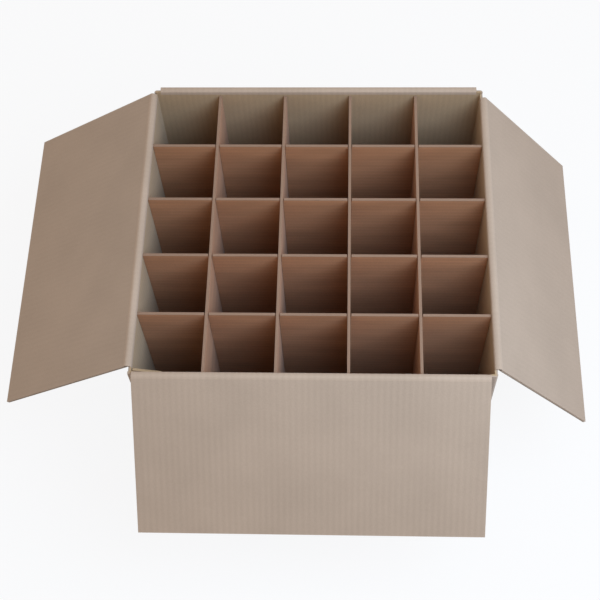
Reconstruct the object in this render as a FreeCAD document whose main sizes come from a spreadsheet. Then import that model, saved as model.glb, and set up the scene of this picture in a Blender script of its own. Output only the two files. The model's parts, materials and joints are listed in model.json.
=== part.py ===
# Bottle shipping box: a slotted carton of folded corrugated board, with four top flaps
# and a lattice of slotted dividers inside. Millimetres, +Z up, +X to the right, +Y to the back.
# The origin is the middle of the face that the box stands on.
import FreeCAD, Part
import os
import Sketcher

Vector = FreeCAD.Vector
doc = FreeCAD.newDocument("bottle_shipping_box")

# Driving sizes, in the order: name, value, meaning
SIZES = [
    ("board", 3.0, "thickness of the corrugated board"),
    ("box_length", 380.0, "outside, left to right"),
    ("box_width", 360.0, "outside, front to back"),
    ("box_tall", 270.0, "standing face to the fold of the front and back flaps"),
    ("flap_reach", 180.0, "fold to free edge, top flaps and bottom flaps"),
    ("ply_gap", 0.3, "air between two flaps folded over each other"),
    ("end_inset", 7.0, "end of a front or back flap, in from the box's corner"),
    ("side_inset", 9.0, "end of a left or right flap, in from the box's corner"),
    ("front_left_inset", 4.0, "left end of the front flap, in from the glued corner"),
    ("left_back_inset", 3.6, "back end of the left flap, in from the box's corner"),
    ("corner_round", 3.0, "outer radius of a folded corner"),
    ("crush", 0.5, "board left at the line of a crushed fold"),
    ("crush_slope", 1.6, "run from the crushed line back to full board"),
    ("slot_round", 3.0, "radius where a flap's end meets its fold"),
    ("fold_gap", 0.3, "running gap between a flap and its wall"),
    ("rim_slope", 1.2, "slope on the inner side of the rim under a fold"),
    ("left_fall", 34.0, "left flap at rest, degrees below level"),
    ("right_fall", 52.0, "right flap at rest, degrees below level"),
    ("front_fall", 44.5, "front flap at rest, degrees below level"),
    ("back_fall", 75.0, "back flap at rest, degrees below level"),
    ("tab_length", 32.0, "glue tab, along the front wall"),
    ("tab_taper", 9.0, "how much the glue tab narrows at each end"),
    ("tab_drop", 1.0, "glue tab's end, below the rim of the left wall"),
    ("tab_slit", 0.5, "open gap behind the front wall above the glue"),
    ("glue_stop", 18.0, "the glue starts this far below the rim"),
    ("seam_notch", 1.6, "groove at the corner where the blank is joined"),
    ("cells_long", 5.0, "cells from left to right"),
    ("cells_deep", 5.0, "cells from front to back"),
    ("divider_drop", 7.0, "top of the dividers, below the front fold"),
    ("divider_gap", 0.3, "divider end to wall"),
    ("lap_gap", 0.35, "air on each side in a divider's slot"),
    ("lap_spare", 1.5, "how much deeper a slot is than half the divider"),
    ("lap_flare", 4.0, "how far in the widening of a slot's mouth starts"),
    ("lap_mouth", 1.0, "widening on each side of a slot's mouth"),
    ("tape_width", 60.0, "closing tape under the box"),
    ("tape_thick", 0.2, "thickness of the gummed paper tape"),
    ("tape_rise", 55.0, "how far the tape turns up each side wall"),
    ("overrun", 1.0, "how far a cut's outline reaches past the board"),
]
TOUCH = 0.01

# Sizes that follow from the driving ones
DERIVED = [
    ("half_length", "box_length / 2"),
    ("half_width", "box_width / 2"),
    ("inner_long", "half_length - board"),
    ("inner_deep", "half_width - board"),
    ("floor_low", "tape_thick + board + ply_gap"),
    ("floor_top", "floor_low + board"),
    ("side_fold", "box_tall - board - ply_gap"),
    ("front_rim", "box_tall - crush - fold_gap"),
    ("side_rim", "side_fold - crush - fold_gap"),
    ("divider_top", "box_tall - divider_drop"),
    ("divider_mid", "(floor_top + divider_top) / 2"),
    ("end_half", "half_length - end_inset"),
    ("side_half", "half_width - side_inset"),
    ("flap_root", "board + 2 * fold_gap"),
    ("cell_long", "(2 * inner_long + board) / cells_long"),
    ("cell_deep", "(2 * inner_deep + board) / cells_deep"),
    ("lap_half", "board / 2 + lap_gap"),
    ("tab_end", "tab_length - inner_long"),
]

sheet = doc.addObject("Spreadsheet::Sheet", "Sizes")


def fill_sheet():
    """Write every size into the sheet, one row each, with its name as the alias."""
    for row, (name, value, meaning) in enumerate(SIZES, 1):
        sheet.set("A%d" % row, meaning)
        sheet.set("B%d" % row, "%g" % value)
        sheet.setAlias("B%d" % row, name)
    doc.recompute()
    first = len(SIZES) + 1
    for row, (name, formula) in enumerate(DERIVED, first):
        sheet.set("A%d" % row, formula)
        sheet.set("B%d" % row, "=" + formula)
        sheet.setAlias("B%d" % row, name)
        doc.recompute()


def named(formula):
    """Write a formula of sheet names so that an object outside the sheet can read it."""
    words = []
    word = ""
    for letter in formula + " ":
        if letter.isalnum() or letter == "_":
            word += letter
            continue
        words.append("Sizes." + word if word[:1].isalpha() else word)
        words.append(letter)
        word = ""
    return "".join(words).strip()


def value(formula):
    """The number that a formula of sheet names stands for."""
    return float(sheet.evalExpression(named(formula)))


def new_body(label):
    """An empty body whose label is the node's name."""
    body = doc.addObject("PartDesign::Body", label)
    body.Label = label
    return body


def outline(body, name, plane, corners, lift="0"):
    """A closed sketch with straight sides on one of the body's planes. Each corner is a pair
    of formulas, and lift moves the sketch along the plane's normal."""
    sketch = body.newObject("Sketcher::SketchObject", name)
    base = [part for part in body.Origin.OriginFeatures if part.Role == plane][0]
    sketch.AttachmentSupport = [(base, "")]
    sketch.MapMode = "FlatFace"
    sketch.setExpression("AttachmentOffset.Base.z", named(lift))
    add_loop(sketch, corners)
    return sketch


def add_loop(sketch, corners):
    """Add one closed loop of lines to a sketch, with every corner tied to its formulas."""
    points = [Vector(value(across), value(up), 0) for across, up in corners]
    start = sketch.GeometryCount
    count = len(points)
    for index in range(count):
        line = Part.LineSegment(points[index], points[(index + 1) % count])
        sketch.addGeometry(line, False)
    for index in range(count):
        here = start + index
        after = start + (index + 1) % count
        sketch.addConstraint(Sketcher.Constraint("Coincident", here, 2, after, 1))
        tie_corner(sketch, here, corners[index], points[index])


def tie_corner(sketch, line, formulas, point):
    """Hold a line's start at two formulas, measured from the sketch's origin."""
    for kind, formula, size in zip(("DistanceX", "DistanceY"), formulas, (point.x, point.y)):
        held = sketch.addConstraint(Sketcher.Constraint(kind, -1, 1, line, 1, size))
        sketch.setExpression("Constraints[%d]" % held, named(formula))


def extrude(body, name, sketch, length, both_ways=False):
    """Pad a sketch along its normal, or half the length each way."""
    pad = body.newObject("PartDesign::Pad", name)
    pad.Profile = sketch
    pad.SideType = "Symmetric" if both_ways else "One side"
    pad.setExpression("Length", named(length))
    sketch.Visibility = False
    doc.recompute()
    return pad


def cut(body, name, sketch, length, both_ways=False):
    """Pocket a sketch against its normal, and make sure that material went away."""
    before = body.Shape.Volume
    pocket = body.newObject("PartDesign::Pocket", name)
    pocket.Profile = sketch
    pocket.SideType = "Symmetric" if both_ways else "One side"
    pocket.setExpression("Length", named(length))
    sketch.Visibility = False
    doc.recompute()
    if body.Shape.Volume >= before:
        raise RuntimeError(name + " cuts nothing")
    return pocket


def round_edges(body, name, radius, chosen):
    """Fillet the straight edges of the body's tip whose two ends the function chosen takes."""
    base = body.Tip
    names = []
    for index, edge in enumerate(base.Shape.Edges, 1):
        if len(edge.Vertexes) == 2 and chosen(edge.Vertexes[0].Point, edge.Vertexes[1].Point):
            names.append("Edge%d" % index)
    if not names:
        raise RuntimeError(name + " finds no edge")
    fillet = body.newObject("PartDesign::Fillet", name)
    fillet.Base = (base, names)
    fillet.setExpression("Radius", named(radius))
    doc.recompute()
    return fillet


def same(first, second):
    """True for two lengths that differ by nothing that can be measured."""
    return abs(first - second) < TOUCH


def upright_at(points_at):
    """A test for upright edges that stand at one of the given places."""
    def chosen(start, end):
        if not (same(start.x, end.x) and same(start.y, end.y)):
            return False
        return any(same(start.x, across) and same(start.y, back) for across, back in points_at)
    return chosen


def rectangle(low_across, low_up, high_across, high_up):
    """The four corners of a rectangle, as formulas."""
    return [
        (low_across, low_up),
        (high_across, low_up),
        (high_across, high_up),
        (low_across, high_up),
    ]


def case_walls(body):
    """Four walls as a ring, folded at the corners from one strip of board."""
    ring = outline(
        body, "ring", "XY_Plane",
        rectangle("-half_length", "-half_width", "half_length", "half_width"), "floor_low")
    add_loop(ring, rectangle("-inner_long", "-inner_deep", "inner_long", "inner_deep"))
    extrude(body, "walls", ring, "front_rim - floor_low")
    side, front = value("half_length"), value("half_width")
    folded = [(side, -front), (side, front), (-side, front)]
    round_edges(body, "corner_folds", "corner_round", upright_at(folded))
    side, front = value("inner_long"), value("inner_deep")
    inside = [(side, -front), (side, front), (-side, front)]
    round_edges(body, "corner_creases", "crush", upright_at(inside))


def side_rims(body):
    """The left and right walls end one board lower, so that their flaps close first."""
    for name, near, far in (
        ("left_rim", "-half_length - board", "-inner_long"),
        ("right_rim", "inner_long", "half_length + board"),
    ):
        notch = outline(
            body, name + "_outline", "XZ_Plane",
            rectangle(near, "side_rim", far, "front_rim + board"))
        cut(body, name, notch, "2 * inner_deep", both_ways=True)


def bottom_flaps(body):
    """The bottom flaps: left and right inside, front and back over them, meeting in a seam."""
    for name, sign in (("left", "-"), ("right", "")):
        profile = outline(body, name + "_under_profile", "XZ_Plane", [
            (sign + "(half_length)", "floor_top + corner_round"),
            (sign + "(half_length)", "floor_low"),
            (sign + "(half_length - flap_reach)", "floor_low"),
            (sign + "(half_length - flap_reach)", "floor_top"),
            (sign + "(inner_long)", "floor_top"),
            (sign + "(inner_long)", "floor_top + corner_round"),
        ])
        extrude(body, name + "_under_flap", profile, "2 * side_half", both_ways=True)
    for name, sign in (("front", "-"), ("back", "")):
        profile = outline(body, name + "_under_profile", "YZ_Plane", [
            (sign + "(half_width)", "floor_low + corner_round"),
            (sign + "(half_width)", "tape_thick"),
            (sign + "(half_width - flap_reach + ply_gap)", "tape_thick"),
            (sign + "(half_width - flap_reach + ply_gap)", "tape_thick + board"),
            (sign + "(inner_deep)", "tape_thick + board"),
            (sign + "(inner_deep)", "floor_low + corner_round"),
        ])
        extrude(body, name + "_under_flap", profile, "2 * end_half", both_ways=True)


def bottom_folds(body):
    """Round the outer line of each bottom fold."""
    side, front = value("half_length"), value("half_width")
    low, lower = value("floor_low"), value("tape_thick")
    side_half, end_half = value("side_half"), value("end_half")

    def chosen(start, end):
        along_side = same(start.z, low) and same(end.z, low) and same(abs(start.x), side)
        along_side = along_side and same(abs(end.x), side) and abs(start.y) < side_half + TOUCH
        along_end = same(start.z, lower) and same(end.z, lower) and same(abs(start.y), front)
        along_end = along_end and same(abs(end.y), front) and abs(start.x) < end_half + TOUCH
        return along_side and same(start.x, end.x) or along_end and same(start.y, end.y)

    round_edges(body, "bottom_folds", "corner_round - ply_gap", chosen)


def glue_tab(body):
    """The tab that turns in from the left wall and is glued behind the front wall."""
    outer = "-inner_long - board / 2"
    tab = outline(body, "tab_outline", "XZ_Plane", [
        (outer, "floor_top + ply_gap"),
        ("tab_end", "floor_top + ply_gap + tab_taper"),
        ("tab_end", "side_rim - tab_drop - tab_taper"),
        (outer, "side_rim - tab_drop"),
    ], "inner_deep - board")
    extrude(body, "tab", tab, "board")
    slit = outline(
        body, "slit_outline", "XY_Plane",
        rectangle("-inner_long", "-inner_deep", "tab_end + board", "-inner_deep + tab_slit"),
        "side_rim")
    cut(body, "slit", slit, "glue_stop")
    groove = outline(body, "joint_groove_outline", "XY_Plane", [
        ("-half_length - overrun", "-inner_deep"),
        ("seam_notch - half_length", "-inner_deep"),
        ("-half_length - overrun", "seam_notch - inner_deep + overrun"),
    ], "box_tall")
    cut(body, "joint_groove", groove, "2 * box_tall")


def rim_folds(body):
    """Slope the inner side of each rim, along its fold only, where the flap bends over it."""
    for name, sign in (("left", "-"), ("right", "")):
        slope = outline(body, name + "_slope_outline", "XZ_Plane", [
            (sign + "(inner_long - overrun)", "side_rim - rim_slope"),
            (sign + "(inner_long)", "side_rim - rim_slope"),
            (sign + "(inner_long + rim_slope)", "side_rim"),
            (sign + "(inner_long + rim_slope)", "side_rim + overrun"),
            (sign + "(inner_long - overrun)", "side_rim + overrun"),
        ])
        cut(body, name + "_slope", slope, "2 * side_half", both_ways=True)
    for name, sign in (("front", "-"), ("back", "")):
        slope = outline(body, name + "_slope_outline", "YZ_Plane", [
            (sign + "(inner_deep - overrun)", "front_rim - rim_slope"),
            (sign + "(inner_deep)", "front_rim - rim_slope"),
            (sign + "(inner_deep + rim_slope)", "front_rim"),
            (sign + "(inner_deep + rim_slope)", "front_rim + overrun"),
            (sign + "(inner_deep - overrun)", "front_rim + overrun"),
        ])
        cut(body, name + "_slope", slope, "2 * end_half", both_ways=True)


def make_case():
    """The folded blank: walls, bottom flaps and glue tab, one sheet of board."""
    body = new_body("case")
    case_walls(body)
    side_rims(body)
    bottom_flaps(body)
    bottom_folds(body)
    glue_tab(body)
    rim_folds(body)
    return body


def make_flap(name, corners, insets, turn, fall, across, back, fold_line):
    """A top flap, drawn level along +X from its fold with the box's inside on top, then
    placed at its fold line, turned to its side and let down by its fall. Its two ends, at -Y
    and at +Y as it is drawn, each stand in from a corner by an inset of their own."""
    body = new_body("flap_" + name)
    low = "-%s + %s" % (corners, insets[0])
    high = "%s - %s" % (corners, insets[1])
    profile = outline(body, name + "_profile", "XZ_Plane", [
        ("0", "0"),
        ("flap_reach", "0"),
        ("flap_reach", "board"),
        ("flap_root + crush_slope", "board"),
        ("flap_root", "crush"),
        ("0", "crush"),
    ], "-(%s)" % high)
    extrude(body, name + "_board", profile, "%s - (%s)" % (high, low))
    ends = [(0.0, value(low)), (0.0, value(high))]
    round_edges(body, name + "_slot_ends", "slot_round", upright_at(ends))
    body.setExpression("Placement.Base.x", named(across))
    body.setExpression("Placement.Base.y", named(back))
    body.setExpression("Placement.Base.z", named(fold_line))
    body.setExpression("Placement.Rotation.Yaw", turn)
    body.setExpression("Placement.Rotation.Pitch", named(fall))
    return body


def make_flaps():
    """Left and right flaps fold one board lower than the front and back ones."""
    side = "half_length + fold_gap"
    end = "half_width + fold_gap"
    left = ("left_back_inset", "side_inset")
    right = ("side_inset", "side_inset")
    front = ("front_left_inset", "end_inset")
    back = ("end_inset", "end_inset")
    return [
        make_flap("left", "half_width", left, "180", "left_fall",
                  "-(" + side + ")", "0", "side_fold"),
        make_flap("right", "half_width", right, "0", "right_fall", side, "0", "side_fold"),
        make_flap("front", "half_length", front, "-90", "front_fall",
                  "0", "-(" + end + ")", "box_tall"),
        make_flap("back", "half_length", back, "90", "back_fall", "0", end, "box_tall"),
    ]


def lap_slot(place, mouth, bottom):
    """A divider's slot as corners: straight sides, and a mouth that widens a little."""
    spread = "lap_half + lap_mouth"
    step = "%s - lap_flare" if mouth == "divider_top" else "%s + lap_flare"
    past = "%s + board" if mouth == "divider_top" else "%s - board"
    return [
        ("%s - lap_half" % place, bottom),
        ("%s - lap_half" % place, step % mouth),
        ("%s - (%s)" % (place, spread), mouth),
        ("%s - (%s)" % (place, spread), past % mouth),
        ("%s + %s" % (place, spread), past % mouth),
        ("%s + %s" % (place, spread), mouth),
        ("%s + lap_half" % place, step % mouth),
        ("%s + lap_half" % place, bottom),
    ]


def make_divider(name, plane, inner, cells, pitch, mouth, bottom, lift):
    """A strip of board with one slot for each divider that crosses it."""
    body = new_body(name)
    end = "(%s - divider_gap)" % inner
    strip = outline(
        body, name + "_strip", plane,
        rectangle("-" + end, "floor_top", end, "divider_top"), lift)
    extrude(body, name + "_board", strip, "board", both_ways=True)
    slots = None
    for index in range(1, int(round(value(cells)))):
        place = "(%d - %s / 2) * %s" % (index, cells, pitch)
        corners = lap_slot(place, mouth, bottom)
        if slots is None:
            slots = outline(body, name + "_slots_outline", plane, corners, lift)
        else:
            add_loop(slots, corners)
    cut(body, name + "_slots", slots, "2 * board", both_ways=True)
    return body


def make_dividers():
    """Dividers along X are slotted from the top, and those along Y from the bottom."""
    made = []
    for index in range(1, int(round(value("cells_deep")))):
        lift = "-(%d - cells_deep / 2) * cell_deep" % index
        made.append(make_divider(
            "divider_long_%d" % index, "XZ_Plane", "inner_long", "cells_long", "cell_long",
            "divider_top", "divider_mid - lap_spare", lift))
    for index in range(1, int(round(value("cells_long")))):
        lift = "(%d - cells_long / 2) * cell_long" % index
        made.append(make_divider(
            "divider_cross_%d" % index, "YZ_Plane", "inner_deep", "cells_deep", "cell_deep",
            "floor_top", "divider_mid + lap_spare", lift))
    return made


def make_tape():
    """The strip that closes the seam below and turns up on both side walls."""
    body = new_body("bottom_tape")
    profile = outline(body, "tape_profile", "XZ_Plane", [
        ("-half_length - tape_thick", "floor_low + tape_rise"),
        ("-half_length - tape_thick", "0"),
        ("half_length + tape_thick", "0"),
        ("half_length + tape_thick", "floor_low + tape_rise"),
        ("half_length", "floor_low + tape_rise"),
        ("half_length", "tape_thick"),
        ("-half_length", "tape_thick"),
        ("-half_length", "floor_low + tape_rise"),
    ])
    extrude(body, "tape_strip", profile, "tape_width", both_ways=True)
    return body


def check_and_write(pieces):
    """Stop on a failed object or a bad shape, and otherwise write one file for each piece."""
    doc.recompute()
    for item in doc.Objects:
        if "Invalid" in item.State or "Error" in item.State:
            raise RuntimeError(item.Name + " failed")
    for piece in pieces:
        shape = piece.Shape
        if shape.isNull() or not shape.isValid() or len(shape.Solids) != 1:
            raise RuntimeError(piece.Label + " has a bad shape")
    os.makedirs("parts", exist_ok=True)
    for piece in pieces:
        piece.Shape.exportStep("parts/" + piece.Label + ".step")
        box = piece.Shape.BoundBox
        print(piece.Label, "%.0f mm3" % piece.Shape.Volume, "solids", len(piece.Shape.Solids),
              "z %.2f to %.2f" % (box.ZMin, box.ZMax))
    total = sum(piece.Shape.Volume for piece in pieces)
    print("all pieces %.0f mm3" % total)


fill_sheet()
pieces = [make_case()]
pieces += make_flaps()
pieces += make_dividers()
pieces.append(make_tape())
check_and_write(pieces)
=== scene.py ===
# %% [markdown]
# A bottle shipping box in corrugated board, open, with four flaps and a lattice of dividers.
# The frame holds every rigid piece at its real size. This lesson dresses it: the boards get
# their two liners and the fluted sheet between them, the folds get their rounded humps, and
# every surface gets the look of kraft paper.

# %% Load the frame
import json
import math
import bpy
from mathutils import Matrix, Vector


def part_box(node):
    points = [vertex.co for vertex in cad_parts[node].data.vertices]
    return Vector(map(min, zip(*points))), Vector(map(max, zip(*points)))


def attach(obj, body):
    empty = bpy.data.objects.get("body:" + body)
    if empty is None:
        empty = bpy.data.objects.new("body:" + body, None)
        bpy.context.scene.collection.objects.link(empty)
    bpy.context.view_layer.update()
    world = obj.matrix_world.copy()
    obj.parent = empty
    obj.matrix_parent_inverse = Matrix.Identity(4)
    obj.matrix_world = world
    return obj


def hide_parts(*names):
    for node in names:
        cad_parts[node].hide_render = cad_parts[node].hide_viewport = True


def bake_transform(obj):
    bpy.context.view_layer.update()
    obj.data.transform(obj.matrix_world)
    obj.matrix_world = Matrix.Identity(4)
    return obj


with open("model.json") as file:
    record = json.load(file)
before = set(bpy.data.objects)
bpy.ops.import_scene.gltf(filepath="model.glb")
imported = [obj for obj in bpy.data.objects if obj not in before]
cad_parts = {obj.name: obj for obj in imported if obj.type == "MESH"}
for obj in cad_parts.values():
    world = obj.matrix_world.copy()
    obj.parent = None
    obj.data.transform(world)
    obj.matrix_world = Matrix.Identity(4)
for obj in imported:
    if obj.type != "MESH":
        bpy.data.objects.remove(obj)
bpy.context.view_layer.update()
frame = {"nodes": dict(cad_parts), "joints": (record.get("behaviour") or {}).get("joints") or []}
MM = 0.001
print("frame loaded, nodes:", len(frame["nodes"]))

# %% [markdown]
# The sizes come from the frame's own boxes and joints, so that each new piece lands where the
# solid is. Corrugated board is two flat liners with a wavy sheet, the medium, glued between.
# The waves are the flutes. This board has one every six and a half millimetres.

# %% Sizes
BOARD = 3.0 * MM
LINER = 0.32 * MM
MEDIUM = 0.26 * MM
GLUE_AIR = 0.01 * MM
FLUTE_PITCH = 6.5 * MM
FLUTE_STEPS = 8
JOINTS = {joint["name"].split("_")[0]: joint for joint in frame["joints"]}
SIDES = ("left", "right", "front", "back")
OUTWARD = {
    "left": Vector((-1, 0, 0)),
    "right": Vector((1, 0, 0)),
    "front": Vector((0, -1, 0)),
    "back": Vector((0, 1, 0)),
}
UP = Vector((0, 0, 1))


def fall_of(side):
    """How far below level a flap hangs at rest, in radians, from its joint's upper limit."""
    return math.radians(JOINTS[side]["range_deg"][1] - 180.0)


def flap_reach():
    """Fold to free edge, read from the front flap's box and its fall."""
    low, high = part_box("flap_front")
    fold = Vector(JOINTS["front"]["pos_m"])
    fall = fall_of("front")
    return (fold.y - low.y - BOARD * math.sin(fall)) / math.cos(fall)


REACH = flap_reach()
print("flap reach in mm:", round(REACH / MM, 2))

# %% [markdown]
# A few small helpers keep the work readable. The first clears the selection and makes an
# object active, and the second puts an object's place into its mesh. What repeats is modelled
# once and copied.

# %% Helpers for objects


def only(piece):
    """Select one object, and nothing else, and make it the active one."""
    bpy.ops.object.select_all(action="DESELECT")
    piece.select_set(True)
    bpy.context.view_layer.objects.active = piece
    return piece


def settle(piece):
    """Put the object's place, turn and size into its mesh."""
    only(piece)
    bpy.ops.object.transform_apply(location=True, rotation=True, scale=True)
    return piece


def copy_to(piece, place):
    """A copy of a piece, with a mesh of its own, moved to a place."""
    only(piece)
    bpy.ops.object.duplicate(linked=False)
    made = bpy.context.object
    made.location = place
    return settle(made)


def apply_modifier(piece, kind, **settings):
    """Add one modifier with its settings and apply it."""
    only(piece)
    modifier = piece.modifiers.new(kind.lower(), kind)
    for name, value in settings.items():
        setattr(modifier, name, value)
    bpy.ops.object.modifier_apply(modifier=modifier.name)
    return piece


def select_vertices(piece, test):
    """In edit mode, select the vertices whose place passes the test."""
    bpy.ops.mesh.select_all(action="DESELECT")
    bpy.ops.object.mode_set(mode="OBJECT")
    for vertex in piece.data.vertices:
        vertex.select = test(vertex.co)
    bpy.ops.object.mode_set(mode="EDIT")


def join(pieces, name):
    """Join several objects into the first, under one name."""
    bpy.ops.object.select_all(action="DESELECT")
    for piece in pieces:
        piece.select_set(True)
    bpy.context.view_layer.objects.active = pieces[0]
    bpy.ops.object.join()
    pieces[0].name = name
    return pieces[0]


# %% [markdown]
# One flute is modelled once. It starts as a narrow upright plane, and its last edge is
# extruded step by step along a cosine, which is the shape that paper takes between two
# toothed rollers. An array of it makes the medium of any board, and Solidify gives the paper
# its thickness.

# %% One flute
WAVE_HEIGHT = (BOARD - 2 * LINER - MEDIUM - 2 * GLUE_AIR) / 2


def wave(step):
    """The medium's offset from the middle of the board at one step of a flute."""
    return WAVE_HEIGHT * math.cos(2 * math.pi * step / FLUTE_STEPS)


def one_flute():
    """A single flute, one unit tall, that starts on the board's middle line at x = 0."""
    stride = FLUTE_PITCH / FLUTE_STEPS
    bpy.ops.object.select_all(action="DESELECT")
    bpy.ops.mesh.primitive_plane_add(size=1, location=(stride / 2, wave(0), 0.5),
                                     rotation=(math.pi / 2, 0, 0))
    flute = bpy.context.object
    flute.scale = (stride, 1, 1)
    settle(flute)
    bpy.ops.object.mode_set(mode="EDIT")
    bpy.ops.mesh.select_mode(type="VERT")
    select_vertices(flute, lambda place: place.x > stride / 2)
    bpy.ops.transform.translate(value=(0, wave(1) - wave(0), 0))
    for step in range(1, FLUTE_STEPS):
        bpy.ops.mesh.extrude_region_move(
            TRANSFORM_OT_translate={"value": (stride, wave(step + 1) - wave(step), 0)})
    bpy.ops.object.mode_set(mode="OBJECT")
    flute.name = "flute_pattern"
    return flute


FLUTE = one_flute()
print("one flute has", len(FLUTE.data.polygons), "faces")

# %% [markdown]
# A board is the medium, cut to length by bisecting, with a liner on each side. Both liners
# are plain sheets with enough cross edges to bend later. The board is built upright, with its
# length along X, its thickness along Y and its flutes along Z. Where a cut edge is seen from
# close by, a thin strip between the liners stands for the flutes that the knife pressed shut.

# %% A sheet of corrugated board
LINER_CUTS = 16
RIM_DEPTH = 0.3 * MM
WELD = 0.05 * MM


def make_medium(length, tall):
    """The fluted sheet, centred on x = 0 and standing on z = 0."""
    medium = copy_to(FLUTE, (0, 0, 0))
    count = math.ceil(length / FLUTE_PITCH) + 1
    apply_modifier(
        medium, "ARRAY", count=count, use_relative_offset=False, use_constant_offset=True,
        constant_offset_displace=(FLUTE_PITCH, 0, 0), use_merge_vertices=True,
        merge_threshold=WELD)
    medium.location.x = -count * FLUTE_PITCH / 2
    medium.scale.z = tall
    settle(medium)
    for side in (-1, 1):
        only(medium)
        bpy.ops.object.mode_set(mode="EDIT")
        bpy.ops.mesh.select_all(action="SELECT")
        bpy.ops.mesh.bisect(plane_co=(side * length / 2, 0, 0), plane_no=(side, 0, 0),
                            clear_outer=True)
        bpy.ops.object.mode_set(mode="OBJECT")
    apply_modifier(medium, "SOLIDIFY", thickness=MEDIUM, offset=0)
    return medium


def make_liner(length, tall, across):
    """One flat liner whose middle lies at y = across."""
    bpy.ops.object.select_all(action="DESELECT")
    bpy.ops.mesh.primitive_grid_add(
        x_subdivisions=LINER_CUTS, y_subdivisions=1, size=1,
        location=(0, across, tall / 2), rotation=(math.pi / 2, 0, 0))
    liner = bpy.context.object
    liner.scale = (length, tall, 1)
    settle(liner)
    apply_modifier(liner, "SOLIDIFY", thickness=LINER, offset=0)
    return liner


def make_board(name, length, tall):
    """Medium and two liners as one piece."""
    edge = (BOARD - LINER) / 2
    sheets = [make_medium(length, tall)]
    sheets.append(make_liner(length, tall, -edge))
    sheets.append(make_liner(length, tall, edge))
    return join(sheets, name)


def make_rim(length, top):
    """The crushed flute that closes a cut edge: a thin strip between the liners, a little
    below the top edge of a board that is centred on x = 0."""
    bpy.ops.object.select_all(action="DESELECT")
    bpy.ops.mesh.primitive_cube_add(size=1, location=(0, 0, top - RIM_DEPTH))
    rim = bpy.context.object
    rim.scale = (length, BOARD - 2 * LINER - 2 * GLUE_AIR, MEDIUM)
    return settle(rim)


# %% [markdown]
# Kraft liner is dull brown paper. Close up it has short fibres that lie mostly along the
# roll, a few dark specks, and soft clouds of tone. The thin liner rides over the flutes in a
# faint washboard, so the same wave drives a little bump and, as painted shade, faint stripes
# in the colour. All of it reads Object coordinates, so it stays on the board.
# These helpers add one node each, for numbers and patterns.

# %% Helpers for numbers and patterns


def add_node(tree, kind, **settings):
    """Add a shader node and set its fields."""
    made = tree.nodes.new(kind)
    for name, value in settings.items():
        setattr(made, name, value)
    return made


def math_node(tree, operation, *sources):
    """A Math node whose inputs are sockets or numbers. Returns its output."""
    made = add_node(tree, "ShaderNodeMath", operation=operation)
    for slot, source in enumerate(sources):
        if isinstance(source, (int, float)):
            made.inputs[slot].default_value = source
        else:
            tree.links.new(source, made.inputs[slot])
    return made.outputs[0]


def split_node(tree, source):
    """The x, y and z of a vector, by name."""
    made = add_node(tree, "ShaderNodeSeparateXYZ")
    tree.links.new(source, made.inputs[0])
    return made.outputs


def noise_node(tree, place, scale, detail, stretch=(1, 1, 1)):
    """Noise on the given coordinates, stretched along an axis if wanted."""
    mapping = add_node(tree, "ShaderNodeMapping")
    mapping.inputs["Scale"].default_value = stretch
    tree.links.new(place, mapping.inputs["Vector"])
    made = add_node(tree, "ShaderNodeTexNoise")
    made.inputs["Scale"].default_value = scale
    made.inputs["Detail"].default_value = detail
    tree.links.new(mapping.outputs[0], made.inputs["Vector"])
    return made.outputs["Fac"]


# %% [markdown]
# These helpers work on colours: a ramp between tones, a tint, and a mix of two colours. A Mix
# node keeps sockets for every kind of value, so the ones for colours are told by number.

# %% Helpers for colours
MIX_FIRST = 6
MIX_SECOND = 7
MIX_RESULT = 2


def ramp_node(tree, source, stops):
    """A colour ramp from a list of (place, colour)."""
    made = add_node(tree, "ShaderNodeValToRGB")
    ramp = made.color_ramp
    while len(ramp.elements) < len(stops):
        ramp.elements.new(0.5)
    for element, (place, colour) in zip(ramp.elements, stops):
        element.position = place
        element.color = (*colour, 1)
    tree.links.new(source, made.inputs[0])
    return made.outputs[0]


def tint_node(tree, colour, source, low, high):
    """Multiply a colour by a number that runs from low to high with the source."""
    spread = add_node(tree, "ShaderNodeMapRange")
    spread.inputs["To Min"].default_value = low
    spread.inputs["To Max"].default_value = high
    tree.links.new(source, spread.inputs["Value"])
    made = add_node(tree, "ShaderNodeVectorMath", operation="SCALE")
    tree.links.new(colour, made.inputs[0])
    tree.links.new(spread.outputs[0], made.inputs["Scale"])
    return made.outputs[0]


def mix_node(tree, share, first, second):
    """Mix two colours by a number from zero to one. The second may be a plain colour."""
    made = add_node(tree, "ShaderNodeMix", data_type="RGBA")
    tree.links.new(share, made.inputs["Factor"])
    tree.links.new(first, made.inputs[MIX_FIRST])
    if isinstance(second, tuple):
        made.inputs[MIX_SECOND].default_value = (*second, 1)
    else:
        tree.links.new(second, made.inputs[MIX_SECOND])
    return made.outputs[MIX_RESULT]


# %% [markdown]
# The case is one node with an outside and an inside, and its inner faces get warmer, slightly
# darker tones than the outer ones: painted shade for the inside of the box. Where a point
# lies is enough to tell them apart. The flutes of its walls run upright, so their stripes,
# painted shade of the washboard, are counted along x on the front and back walls and along
# y on the side walls, which the way that a face looks decides.

# %% Where a point lies on the board


def inside_case(tree, place):
    """One on the inner faces of the case, and zero on its outer ones."""
    low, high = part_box("case")
    parts = split_node(tree, place)
    share = math_node(tree, "GREATER_THAN", parts["Z"], low.z + BOARD / 2)
    for axis, limit in (("X", high.x), ("Y", high.y)):
        away = math_node(tree, "ABSOLUTE", parts[axis])
        within = math_node(tree, "LESS_THAN", away, limit - BOARD / 2)
        share = math_node(tree, "MULTIPLY", share, within)
    return share


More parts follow.
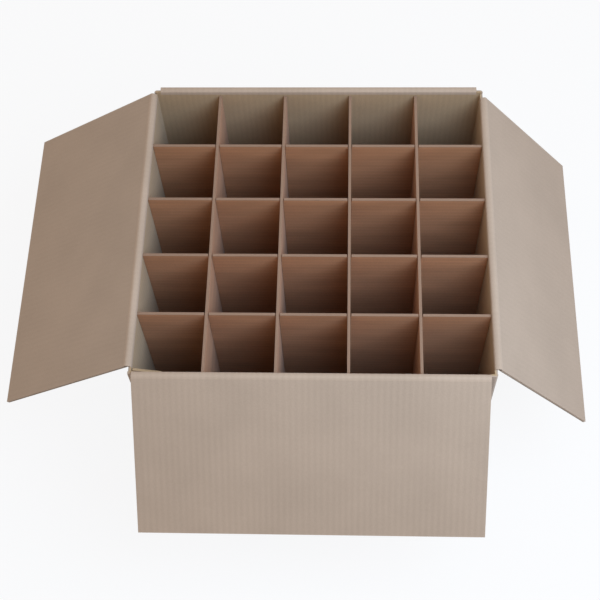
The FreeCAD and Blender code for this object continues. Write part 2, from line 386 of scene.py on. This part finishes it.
def along_walls(tree, parts):
    """The distance along the wall that a face belongs to."""
    normal = add_node(tree, "ShaderNodeTexCoord").outputs["Normal"]
    sideways = math_node(tree, "ABSOLUTE", split_node(tree, normal)["X"])
    on_side = math_node(tree, "GREATER_THAN", sideways, 0.5)
    gap = math_node(tree, "SUBTRACT", parts["Y"], parts["X"])
    return math_node(tree, "MULTIPLY_ADD", on_side, gap, parts["X"])


def flute_wave(tree, place, along):
    """A wave with one crest for each flute: along x, y or z, or along the walls."""
    parts = split_node(tree, place)
    run = along_walls(tree, parts) if along == "walls" else parts[along.upper()]
    turns = math_node(tree, "MULTIPLY", run, 2 * math.pi / FLUTE_PITCH)
    return math_node(tree, "COSINE", turns)


# %% [markdown]
# The colour is built in layers, each of which tints what lies below it: soft clouds between
# two tones, then fibres, dark specks, and the stripes of the flutes, which are painted shade
# of the washboard. The relief has three layers of its own: fibres, flutes and a slow
# unevenness of the sheet.

# %% The kraft material
ROUGHNESS = 0.82
SHINE = 0.28
SHEEN = 0.12
SHEEN_ROUGHNESS = 0.6
CLOUD_SCALE = 16
CLOUD_STOPS = (0.32, 0.68)
FIBRE_SCALE = 900
FIBRE_STRETCH = (1, 1, 0.25)
FIBRE_TINT = 0.10
SPECK_SCALE = 2600
SPECK_LIMIT = 0.68
SPECK_TINT = 0.86
PATCH_SCALE = 22
SOFT_SCALE = 30
FIBRE_RELIEF = 0.06 * MM
FLUTE_RELIEF = 0.6 * MM
SOFT_RELIEF = 0.6 * MM
RELIEF_STRENGTH = 0.8


def cloud_tones(tree, clouds, tones):
    """Clouds of tone between a dark and a pale colour."""
    return ramp_node(tree, clouds, list(zip(CLOUD_STOPS, tones)))


def kraft_relief(tree, place, fibres, flutes, rib_shade_and_relief):
    """The bump of the paper, as a normal."""
    fine = math_node(tree, "MULTIPLY", fibres, FIBRE_RELIEF)
    coarse = math_node(tree, "MULTIPLY_ADD", flutes, rib_shade_and_relief * FLUTE_RELIEF, fine)
    soft = noise_node(tree, place, SOFT_SCALE, detail=2)
    relief = math_node(tree, "MULTIPLY_ADD", soft, SOFT_RELIEF, coarse)
    bump = add_node(tree, "ShaderNodeBump")
    bump.inputs["Distance"].default_value = 1.0
    bump.inputs["Strength"].default_value = RELIEF_STRENGTH
    tree.links.new(relief, bump.inputs["Height"])
    return bump.outputs[0]


def kraft(name, tones, along, rib_shade_and_relief=0.05, streaks=(1, 1, 1), edge=None, inner=None):
    """Kraft paper over flutes. Tones is a dark and a pale colour, the third argument is how
    strongly the flutes' washboard shows, both as painted shade in the colour and as bump, and
    streaks stretches the clouds of tone. Above the height edge, where there is one, the paper
    is cut and looks paler. Inner is a pair of warmer, slightly darker tones painted on the
    inside of the case as painted shade."""
    made = bpy.data.materials.new(name)
    made.use_nodes = True
    tree = made.node_tree
    shader = tree.nodes["Principled BSDF"]
    shader.inputs["Roughness"].default_value = ROUGHNESS
    shader.inputs["Specular IOR Level"].default_value = SHINE
    shader.inputs["Sheen Weight"].default_value = SHEEN
    shader.inputs["Sheen Roughness"].default_value = SHEEN_ROUGHNESS
    place = add_node(tree, "ShaderNodeTexCoord").outputs["Object"]
    clouds = noise_node(tree, place, CLOUD_SCALE, detail=4, stretch=streaks)
    colour = cloud_tones(tree, clouds, tones)
    # Inside the case the tones are warmer and a little darker: painted shade.
    if inner is not None:
        inside_shade = cloud_tones(tree, clouds, inner)
        colour = mix_node(tree, inside_case(tree, place), colour, inside_shade)
    fibres = noise_node(tree, place, FIBRE_SCALE, detail=5, stretch=FIBRE_STRETCH)
    colour = tint_node(tree, colour, fibres, 1 - FIBRE_TINT, 1 + FIBRE_TINT)
    specks = noise_node(tree, place, SPECK_SCALE, detail=2)
    sparse = math_node(tree, "GREATER_THAN", specks, SPECK_LIMIT)
    colour = tint_node(tree, colour, sparse, 1.0, SPECK_TINT)
    # The flute stripes in the colour are painted shade of the washboard; the bump is its relief.
    flutes = flute_wave(tree, place, along)
    patch = noise_node(tree, place, PATCH_SCALE, detail=2)
    washboard_shade = math_node(tree, "MULTIPLY", flutes, patch)
    half = math_node(tree, "MULTIPLY_ADD", washboard_shade, 0.5, 0.5)
    colour = tint_node(tree, colour, half, 1 - rib_shade_and_relief, 1 + rib_shade_and_relief)
    if edge is not None:
        cut = math_node(tree, "GREATER_THAN", split_node(tree, place)["Z"], edge)
        colour = mix_node(tree, cut, colour, CUT_EDGE)
    tree.links.new(colour, shader.inputs["Base Color"])
    normal = kraft_relief(tree, place, fibres, flutes, rib_shade_and_relief)
    tree.links.new(normal, shader.inputs["Normal"])
    return made


# %% [markdown]
# Each tone is a pair, dark and pale. The folds get paler tones than the flaps, a painted
# highlight where their humps catch the light, and the dividers are made of a redder board.
# Each flap's stripes, painted shade of the washboard, run with its own flutes, and so do
# those of its fold.

# %% The finishes of this box
CASE_TONES = ((0.392, 0.303, 0.232), (0.423, 0.327, 0.251))
# The inner tones are painted shade for the inside of the case.
INNER_SHADE_TONES = ((0.400, 0.284, 0.165), (0.430, 0.306, 0.180))
# The fold tones are paler than the case's: a painted highlight on the folds.
FOLD_HIGHLIGHT_TONES = ((0.43, 0.332, 0.253), (0.475, 0.367, 0.281))
DIVIDER_TONES = ((0.382, 0.175, 0.074), (0.458, 0.214, 0.095))
TAPE_TONES = ((0.33, 0.225, 0.145), (0.38, 0.262, 0.172))
CUT_EDGE = (0.30, 0.190, 0.128)
# How strongly the flute stripes show: painted shade in the colour, and bump.
SIDE_RIB_SHADE_AND_RELIEF = 0.02
END_RIB_SHADE_AND_RELIEF = 0.04
DIVIDER_RIB_SHADE_AND_RELIEF = 0.08
DIVIDER_STREAKS = (0.6, 0.6, 4)
EDGE_DEPTH = 0.7 * MM

case_kraft = kraft("wall_kraft", CASE_TONES, "walls", inner=INNER_SHADE_TONES)
flap_kraft = {
    "left": kraft("side_flap_kraft", CASE_TONES, "y", SIDE_RIB_SHADE_AND_RELIEF),
    "front": kraft("end_flap_kraft", CASE_TONES, "x", END_RIB_SHADE_AND_RELIEF),
}
fold_highlight_kraft = {
    "left": kraft("side_fold_highlight_kraft", FOLD_HIGHLIGHT_TONES, "y", SIDE_RIB_SHADE_AND_RELIEF),
    "front": kraft("end_fold_highlight_kraft", FOLD_HIGHLIGHT_TONES, "x", END_RIB_SHADE_AND_RELIEF),
}
for finish in (flap_kraft, fold_highlight_kraft):
    finish["right"] = finish["left"]
    finish["back"] = finish["front"]
tape_paper = kraft("tape_paper", TAPE_TONES, "x", rib_shade_and_relief=0.0)
divider_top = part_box("divider_long_1")[1].z
divider_kraft = kraft("lattice_kraft", DIVIDER_TONES, "z", DIVIDER_RIB_SHADE_AND_RELIEF, DIVIDER_STREAKS,
                      edge=divider_top - EDGE_DEPTH)
print("kraft materials:", [m.name for m in bpy.data.materials])

# %% [markdown]
# Each divider is a board with a slot for every divider that crosses it. The slots are cut
# with one boolean, from tall boxes that widen a little at the mouth. The long dividers are
# slotted from the top and the cross ones from the bottom, so they slide into each other.

# %% Slots
LAP_HALF = BOARD / 2 + 0.35 * MM
LAP_FLARE = 4.0 * MM
FLARE_SIDE = 1.0 * MM
CUTTER_WIDTH = 3 * BOARD
NEAR = 0.1 * MM


def make_cutter(places, bottom, top, mouth_up):
    """Boxes at the given places along the board, widened at the mouth."""
    bpy.ops.object.select_all(action="DESELECT")
    bpy.ops.mesh.primitive_cube_add(size=1, location=(0, 0, (bottom + top) / 2))
    pattern = bpy.context.object
    pattern.scale = (2 * LAP_HALF, CUTTER_WIDTH, top - bottom)
    settle(pattern)
    flare = top - LAP_FLARE if mouth_up else bottom + LAP_FLARE
    mouth = top if mouth_up else bottom
    bpy.ops.object.mode_set(mode="EDIT")
    bpy.ops.mesh.select_all(action="SELECT")
    bpy.ops.mesh.bisect(plane_co=(0, 0, flare), plane_no=(0, 0, 1))
    select_vertices(pattern, lambda at: abs(at.z - mouth) < NEAR)
    widen = 1 + FLARE_SIDE / LAP_HALF
    bpy.ops.transform.resize(value=(widen, 1, 1), center_override=(0, 0, mouth))
    bpy.ops.object.mode_set(mode="OBJECT")
    boxes = [copy_to(pattern, (place, 0, 0)) for place in places]
    bpy.data.objects.remove(pattern)
    return join(boxes, "slot_cutter")


# %% [markdown]
# The flutes of a divider lie level, so its board is built on end and laid down. Its top edge
# is seen from above, so it gets the strip that closes it. Board and strip are cut one by one
# and then joined, because a boolean on both together would lose the strip. One long and one
# cross divider are modelled, and the others are copies of them.

# %% Dividers
DIVIDERS = range(1, 5)
LAP_SPARE = 1.5 * MM
PAST = 1.0 * MM


def middle(node, axis):
    """The middle of a node's box along one axis."""
    low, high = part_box(node)
    return (low[axis] + high[axis]) / 2


def make_level_board(name, length, tall):
    """A board whose flutes lie level: one built on end, and laid down."""
    board = make_board(name, tall, length)
    board.location.z = -length / 2
    settle(board)
    board.rotation_euler.y = -math.pi / 2
    board.location.z = tall / 2
    return settle(board)


def make_slotted_board(name, node, along, places, mouth_up):
    """The pattern of a divider: a slotted board along x, with its top edge crushed shut."""
    low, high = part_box(node)
    length = high[along] - low[along]
    tall = high.z - low.z
    board = make_level_board(name, length, tall)
    rim = make_rim(length, tall)
    half = tall / 2
    if mouth_up:
        cutter = make_cutter(places, half - LAP_SPARE, tall + PAST, True)
    else:
        cutter = make_cutter(places, -PAST, half + LAP_SPARE, False)
    for part in (board, rim):
        apply_modifier(part, "BOOLEAN", operation="DIFFERENCE", solver="EXACT", object=cutter)
    bpy.data.objects.remove(cutter)
    return join([board, rim], name)


def place_divider(pattern, node, along):
    """A copy of the pattern in place of one divider."""
    board = copy_to(pattern, (0, 0, 0))
    board.name = "board_" + node
    if along == 1:
        board.rotation_euler.z = math.pi / 2
    board.location = (middle(node, 0), middle(node, 1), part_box(node)[0].z)
    settle(board)
    board.data.materials.clear()
    board.data.materials.append(divider_kraft)
    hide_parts(node)
    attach(board, "box")
    return board


cross_places = [middle("divider_cross_%d" % index, 0) for index in DIVIDERS]
long_places = [middle("divider_long_%d" % index, 1) for index in DIVIDERS]
long_board = make_slotted_board("long_pattern", "divider_long_1", 0, cross_places, True)
cross_board = make_slotted_board("cross_pattern", "divider_cross_1", 1, long_places, False)
for index in DIVIDERS:
    place_divider(long_board, "divider_long_%d" % index, 0)
    place_divider(cross_board, "divider_cross_%d" % index, 1)
print("a divider has", len(cross_board.data.polygons), "faces")
for pattern in (long_board, cross_board):
    bpy.data.objects.remove(pattern)

# %% [markdown]
# A flap is a board too, with its flutes running from the fold to the free edge. A fold crushes
# the board down to its outer liner, so only that liner runs up to the fold's line. A bisect
# ends the medium and the inner liner a little before it.

# %% Flaps
FOLD_START = 0.3 * MM
CRUSH_END = 3.6 * MM
OUTER_LINER = -BOARD / 2 + LINER + GLUE_AIR / 2


def flap_axes(side):
    """A flap's directions at rest: along its fold, through its thickness, and to its edge."""
    fall = fall_of(side)
    reach = OUTWARD[side] * math.cos(fall) - UP * math.sin(fall)
    inside = OUTWARD[side] * math.sin(fall) + UP * math.cos(fall)
    return inside.cross(reach), inside, reach


def turned(axes, place):
    """A matrix that carries x, y and z onto three directions from a place."""
    turn = Matrix(axes).transposed().to_4x4()
    return Matrix.Translation(place) @ turn


def fold_span(side):
    """The length of a flap along its fold."""
    low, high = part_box("flap_" + side)
    return high.y - low.y if side in ("left", "right") else high.x - low.x


def fold_middle(side):
    """The point of the fold's line that is halfway along the flap."""
    low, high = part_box("flap_" + side)
    fold = Vector(JOINTS[side]["pos_m"])
    along = 1 if side in ("left", "right") else 0
    fold[along] = (low[along] + high[along]) / 2
    return fold


def make_flap(side):
    """The board of one top flap."""
    node = "flap_" + side
    board = make_board("board_" + node, fold_span(side), REACH - FOLD_START)
    bpy.ops.object.mode_set(mode="EDIT")
    bpy.ops.mesh.select_mode(type="VERT")
    select_vertices(board, lambda at: at.y > OUTER_LINER)
    bpy.ops.mesh.bisect(plane_co=(0, 0, CRUSH_END - FOLD_START), plane_no=(0, 0, -1),
                        clear_outer=True, use_fill=True)
    bpy.ops.object.mode_set(mode="OBJECT")
    along, inside, reach = flap_axes(side)
    board.matrix_world = turned(
        (along, inside, reach), fold_middle(side) + inside * BOARD / 2 + reach * FOLD_START)
    settle(board)
    board.data.materials.clear()
    board.data.materials.append(flap_kraft[side])
    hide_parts(node)
    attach(board, side + "_flap")
    return board


for side in SIDES:
    board = make_flap(side)
print("a flap has", len(board.data.polygons), "faces")

# %% [markdown]
# The fold itself is a rounded hump: the inner liner has to go the long way round, so it is
# stretched over the crushed board in a smooth arch, which catches the light as a pale line.
# It starts as a thin flat rectangle on the wall's inner face, is extruded up to the fold, spun
# about the fold's line to the flap's inner face, and extruded down along it. The hump is then
# pressed flatter.

# %% A strip bent round a fold
SKIN = 0.36 * MM
ARCH_STEPS = 14
END_AIR = 0.4 * MM
FLAT = 0.5
FOLD_WELD = 0.001 * MM
SMOOTH_UNDER = math.radians(35)


def flatten(strip, radius, ramp, half_turn):
    """Press the hump of a strip towards the fold's line. The strip is turned first so that
    the hump points up, and turned back afterwards."""
    tilt = math.pi / 2 - half_turn
    strip.rotation_euler.x = tilt
    settle(strip)
    chord_height = radius * math.cos(half_turn) - ramp * math.sin(half_turn)
    bpy.ops.object.mode_set(mode="EDIT")
    bpy.ops.mesh.select_mode(type="VERT")
    select_vertices(strip, lambda at: at.z > chord_height)
    bpy.ops.transform.resize(value=(1, 1, FLAT), center_override=(0, 0, chord_height))
    bpy.ops.object.mode_set(mode="OBJECT")
    strip.rotation_euler.x = -tilt
    settle(strip)


def bent_strip(side, name, radius, wall_lap, flap_lap, ramp, landing):
    """A strip that lies on the wall, turns about the fold's line, and lies on the flap.
    It is built with x along the fold, y towards the inside of the box, and z up. Where it
    has a ramp, its hump is flattened between the two ramps."""
    along, inside, reach = flap_axes(side)
    fall = fall_of(side)
    sweep = math.pi / 2 + fall
    bpy.ops.object.select_all(action="DESELECT")
    bpy.ops.mesh.primitive_plane_add(size=1)
    strip = bpy.context.object
    strip.name = name
    strip.scale = (fold_span(side) - END_AIR, SKIN, 1)
    strip.location = (0, radius, -wall_lap)
    settle(strip)
    bpy.ops.object.mode_set(mode="EDIT")
    bpy.ops.mesh.select_mode(type="FACE")
    bpy.ops.mesh.select_all(action="SELECT")
    for rise in (wall_lap - ramp, ramp):
        bpy.ops.mesh.extrude_region_move(TRANSFORM_OT_translate={"value": (0, 0, rise)})
    bpy.ops.mesh.spin(steps=ARCH_STEPS, angle=sweep, center=(0, 0, 0), axis=(-1, 0, 0))
    down_flap = Vector((0, -math.cos(fall), -math.sin(fall)))
    into_flap = Vector((0, math.sin(fall), -math.cos(fall))) * landing
    for step in (down_flap * ramp, down_flap * (flap_lap - ramp) + into_flap):
        bpy.ops.mesh.extrude_region_move(TRANSFORM_OT_translate={"value": tuple(step)})
    bpy.ops.mesh.select_all(action="SELECT")
    bpy.ops.mesh.remove_doubles(threshold=FOLD_WELD)
    bpy.ops.mesh.normals_make_consistent(inside=False)
    bpy.ops.object.mode_set(mode="OBJECT")
    if ramp > 0:
        flatten(strip, radius, ramp, sweep / 2)
    strip.matrix_world = turned((along, -OUTWARD[side], UP), fold_middle(side))
    settle(strip)
    bpy.ops.object.shade_smooth_by_angle(angle=SMOOTH_UNDER)
    # The fold's tones are painted paler than the flap's, a painted highlight on the hump.
    strip.data.materials.append(fold_highlight_kraft[side])
    return strip


# %% [markdown]
# Each fold gets two strips: the arch of the inner liner, and a close bend for the outer one.

# %% Folds
HINGE_AIR = 0.3 * MM
PROUD = 0.10 * MM
WALL_LAP = 5.0 * MM
FLAP_LAP = 4.2 * MM
RAMP = 2.0 * MM
CLOSE_LAP = 3.0 * MM


def make_fold(side):
    """The arch of the inner liner, and the close bend of the outer one."""
    fold = fold_middle(side)
    radius = HINGE_AIR + BOARD + PROUD - SKIN / 2
    arch = bent_strip(side, "fold_" + side, radius, WALL_LAP, FLAP_LAP, RAMP,
                      HINGE_AIR + PROUD)
    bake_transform(arch)
    close = bent_strip(side, "outer_fold_" + side, HINGE_AIR, CLOSE_LAP, CLOSE_LAP, 0,
                       HINGE_AIR)
    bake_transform(close)
    return arch


for side in SIDES:
    arch = make_fold(side)
    low = [min(corner[axis] for corner in arch.bound_box) for axis in range(3)]
    print("fold", side, "starts at", [round(value / MM, 1) for value in low])

# %% [markdown]
# The glue tab's top edge was cut on a slant, and it shows behind the front wall next to the
# corner. A short length of board, turned to the slant, stands on the tab's solid, a little
# to the inside. It ends just below the front flap when that is closed.

# %% The edge of the glue tab
TAB_RISE = 2.4 * MM
TAB_LENGTH = 30 * MM
TAB_SLANT = math.atan2(9 * MM, 35 * MM)
TAB_THIN = 0.85
TAB_FROM_SIDE = 18.5 * MM
TAB_FROM_FRONT = 6.6 * MM
TAB_BELOW_RIM = 5.7 * MM
CRUSHED = 0.5 * MM
SIDE_RIM = JOINTS["left"]["pos_m"][2] - CRUSHED - HINGE_AIR


def make_tab_edge():
    """The raised edge of the glue tab, in the front left corner."""
    low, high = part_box("case")
    edge = make_level_board("tab_edge", TAB_LENGTH, TAB_RISE)
    edge = join([edge, make_rim(TAB_LENGTH, TAB_RISE)], "tab_edge")
    edge.scale.y = TAB_THIN
    settle(edge)
    edge.rotation_euler.y = TAB_SLANT
    edge.location = (low.x + TAB_FROM_SIDE, low.y + TAB_FROM_FRONT, SIDE_RIM - TAB_BELOW_RIM)
    settle(edge)
    edge.data.materials.clear()
    edge.data.materials.append(case_kraft)
    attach(edge, "box")
    return edge


print("tab edge at", [round(value / MM, 1) for value in make_tab_edge().bound_box[0]])

# %% [markdown]
# The case and its tape keep the frame's own meshes, and only get their paper.

# %% The case and its tape
for node, finish in (("case", case_kraft), ("bottom_tape", tape_paper)):
    target = frame["nodes"][node]
    target.data.materials.clear()
    target.data.materials.append(finish)
    print(node, "is finished in", finish.name)

# %% [markdown]
# The floor is a plain pale sheet. To the camera it is near white, and the rest of it still
# takes the light and keeps the box's shadow. Glossy and transmission rays count as the
# camera's, so that they meet the same white.

# %% Floor
FLOOR_SIZE = 40
FLOOR_COLOUR = (0.86, 0.87, 0.885)
FLOOR_GLOW = (0.985, 0.99, 1.0)
FLOOR_ROUGHNESS = 0.9
FLOOR_WHITE = 0.9


def camera_share(tree, share):
    """A number that is the share for the camera, glossy and transmission rays, else zero."""
    path = add_node(tree, "ShaderNodeLightPath").outputs
    seen = math_node(tree, "MAXIMUM", path["Is Camera Ray"], path["Is Glossy Ray"])
    seen = math_node(tree, "MAXIMUM", seen, path["Is Transmission Ray"])
    return math_node(tree, "MULTIPLY", seen, share)


def mix_shaders(tree, share, first, second, target):
    """Lead a mix of two shaders to the target socket."""
    mixed = add_node(tree, "ShaderNodeMixShader")
    tree.links.new(share, mixed.inputs[0])
    tree.links.new(first.outputs[0], mixed.inputs[1])
    tree.links.new(second.outputs[0], mixed.inputs[2])
    tree.links.new(mixed.outputs[0], target)


def make_floor():
    """A wide pale floor that keeps the shadow and looks near white."""
    bpy.ops.object.select_all(action="DESELECT")
    bpy.ops.mesh.primitive_plane_add(size=FLOOR_SIZE)
    floor = bpy.context.object
    floor.name = "floor"
    made = bpy.data.materials.new("pale_floor")
    made.use_nodes = True
    tree = made.node_tree
    shader = tree.nodes["Principled BSDF"]
    shader.inputs["Base Color"].default_value = (*FLOOR_COLOUR, 1)
    shader.inputs["Roughness"].default_value = FLOOR_ROUGHNESS
    white = add_node(tree, "ShaderNodeEmission")
    white.inputs["Color"].default_value = (*FLOOR_GLOW, 1)
    surface = tree.nodes["Material Output"].inputs["Surface"]
    mix_shaders(tree, camera_share(tree, FLOOR_WHITE), shader, white, surface)
    floor.data.materials.append(made)
    return floor


print("floor:", make_floor().name)

# %% [markdown]
# A soft key light stands to the right and a little to the front. It is cool, and the pale
# surround that fills the shadows is warm, so the paper turns browner where it faces away.

# %% Lights
KEY_POWER = 9.6
KEY_SIZE = 0.8
KEY_COLOUR = (0.75, 1.0, 1.29)
KEY_PLACE = Vector((0.50, -0.36, 1.10))
KEY_AIM = Vector((0, 0, 0.27))
FILL_COLOUR = (1.0, 0.82, 0.66)
FILL_STRENGTH = 0.60
SURROUND_COLOUR = (0.955, 0.965, 0.985)


def make_key():
    """A soft box that the camera doesn't see."""
    bpy.ops.object.light_add(type="AREA", location=KEY_PLACE)
    key = bpy.context.object
    key.data.energy = KEY_POWER
    key.data.size = KEY_SIZE
    key.data.color = KEY_COLOUR
    key.visible_camera = False
    key.rotation_euler = (KEY_PLACE - KEY_AIM).to_track_quat("Z", "Y").to_euler()
    return key


def make_surround():
    """A world that fills with warm light and looks near white."""
    world = bpy.data.worlds.new("surround")
    bpy.context.scene.world = world
    world.use_nodes = True
    tree = world.node_tree
    fill = tree.nodes["Background"]
    fill.inputs["Color"].default_value = (*FILL_COLOUR, 1)
    fill.inputs["Strength"].default_value = FILL_STRENGTH
    white = add_node(tree, "ShaderNodeBackground")
    white.inputs["Color"].default_value = (*SURROUND_COLOUR, 1)
    surface = tree.nodes["World Output"].inputs["Surface"]
    mix_shaders(tree, camera_share(tree, 1.0), fill, white, surface)
    return world


print("lights:", make_key().name, make_surround().name)
bpy.context.scene.view_settings.view_transform = "Standard"

# %% [markdown]
# The camera looks from above and a little from the front, at the photograph's angle. Its
# place, its three turns and its focal length came from a fit to the corners of the box.

# %% Camera
VIEW_PITCH = 62.665
VIEW_ROLL = -3.973
VIEW_YAW = -4.890
VIEW_PLACE = Vector((0.0361, -0.6794, 1.4072))
FOCAL_PIXELS = 1213.5
PICTURE = 600.0
SENSOR = 36.0


def make_camera():
    """A camera at the photograph's viewing angle."""
    pitch, roll, yaw = (math.radians(a) for a in (VIEW_PITCH, VIEW_ROLL, VIEW_YAW))
    level = Matrix((
        (1, 0, 0),
        (0, -math.sin(pitch), -math.cos(pitch)),
        (0, math.cos(pitch), -math.sin(pitch)),
    ))
    view = Matrix.Rotation(roll, 3, "Z") @ level @ Matrix.Rotation(yaw, 3, "Z")
    right, down, ahead = view[0], view[1], view[2]
    turn = Matrix((right, -down, -ahead)).transposed().to_4x4()
    bpy.ops.object.camera_add()
    camera = bpy.context.object
    camera.matrix_world = Matrix.Translation(VIEW_PLACE) @ turn
    camera.data.sensor_width = SENSOR
    camera.data.lens = FOCAL_PIXELS / PICTURE * SENSOR
    bpy.context.scene.camera = camera
    return camera


print("camera lens in mm:", round(make_camera().data.lens, 1))

# %% [markdown]
# The flute pattern has done its work, so it goes.

# %% Finish
bpy.data.objects.remove(FLUTE)
bpy.context.view_layer.update()
